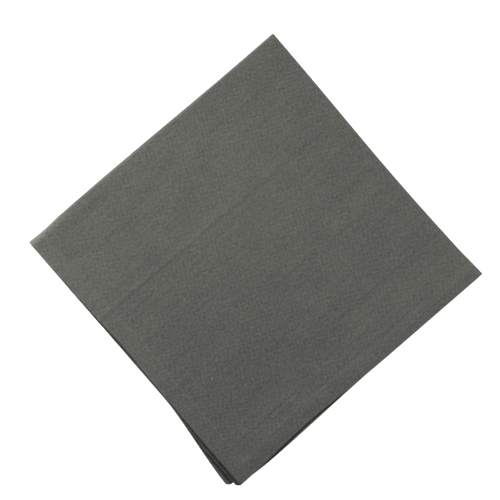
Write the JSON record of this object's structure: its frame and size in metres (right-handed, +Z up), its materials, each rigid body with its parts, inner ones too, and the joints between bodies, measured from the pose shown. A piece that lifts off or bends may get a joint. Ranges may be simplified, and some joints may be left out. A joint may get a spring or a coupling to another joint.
{
  "type": "folded cloth napkin",
  "caption": "Folded square cotton table napkin with mitred hems, lying flat, its layers slightly fanned at the free corner.",
  "frame": {"origin": "centre of the folded napkin's bounding box, on the surface that it lies on", "axes": "+Z up; +X towards the single folds; +Y towards the fold round all the layers; the hemmed edges are free at -X and -Y"},
  "size_m": [0.2578, 0.252, 0.0094],
  "materials": {
    "cloth": "matte"
  },
  "bodies": {
    "root": {"napkin": "cloth"}
  },
  "joints": []
}
